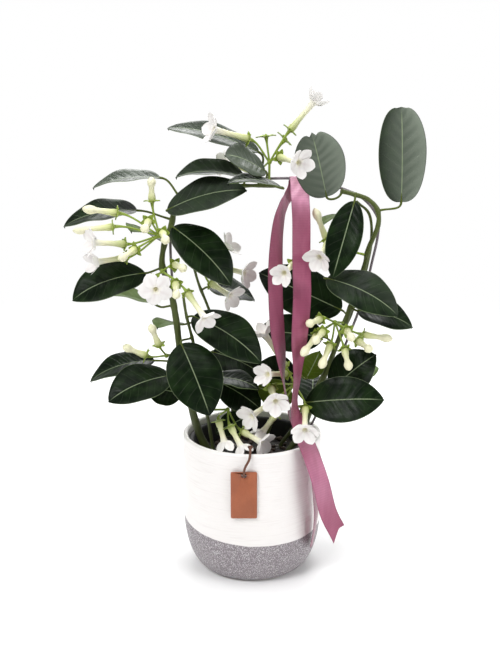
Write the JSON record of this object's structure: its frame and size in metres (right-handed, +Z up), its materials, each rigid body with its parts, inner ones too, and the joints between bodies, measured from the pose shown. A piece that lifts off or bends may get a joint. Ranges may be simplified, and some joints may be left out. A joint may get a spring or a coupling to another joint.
{
  "type": "potted stephanotis",
  "caption": "Potted stephanotis with white waxy flowers and leathery leaves, trained round a wire hoop in a glazed pot, with a satin ribbon and a leather tag.",
  "frame": {"origin": "middle of the pot's flat base", "axes": "+Z up the plant, -Y towards the front with the tag, +X to the viewer's right"},
  "size_m": [0.3462, 0.1501, 0.4766],
  "materials": {
    "leaf": "dark green leathery leaf with a waxy gloss and a paler midrib",
    "flower": "waxy white petals, cream to pale green buds and green stalks",
    "stem": "twining green stem, browner with age",
    "pot_glaze": "satin white glaze with fine turned rings above, speckled grey below",
    "grow_pot_plastic": "thin dark moulded plastic",
    "soil": "dark peat and bark mix",
    "hoop_coating": "dull coated steel wire",
    "ribbon_satin": "mauve pink satin, bare of printing",
    "leather": "orange-brown leather, bare of printing"
  },
  "bodies": {
    "root": {"grow_pot": "grow_pot_plastic", "hoop": "hoop_coating", "leaf_01": "leaf", "leaf_02": "leaf", "leaf_03": "leaf", "leaf_04": "leaf", "leaf_05": "leaf", "leaf_06": "leaf", "leaf_07": "leaf", "leaf_08": "leaf", "leaf_09": "leaf", "leaf_10": "leaf", "leaf_11": "leaf", "leaf_12": "leaf", "leaf_13": "leaf", "leaf_14": "leaf", "leaf_15": "leaf", "leaf_16": "leaf", "leaf_17": "leaf", "leaf_18": "leaf", "leaf_19": "leaf", "leaf_20": "leaf", "leaf_21": "leaf", "leaf_22": "leaf", "leaf_23": "leaf", "leaf_24": "leaf", "leaf_25": "leaf", "leaf_26": "leaf", "leaf_27": "leaf", "leaf_28": "leaf", "leaf_29": "leaf", "leaf_30": "leaf", "leaf_31": "leaf", "leaf_32": "leaf", "leaf_33": "leaf", "leaf_34": "leaf", "leaf_35": "leaf", "leaf_36": "leaf", "leaf_37": "leaf", "leaf_38": "leaf", "pot": "pot_glaze", "ribbon": "ribbon_satin", "soil": "soil", "tag": "leather", "thong": "leather", "umbel_back": "flower", "umbel_left_high": "flower", "umbel_left_low": "flower", "umbel_left_mid": "flower", "umbel_low": "flower", "umbel_pot": "flower", "umbel_right_high": "flower", "umbel_right_mid": "flower", "umbel_top": "flower", "vine_back": "stem", "vine_centre": "stem", "vine_left": "stem", "vine_low": "stem", "vine_main": "stem", "vine_right": "stem"}
  },
  "joints": []
}
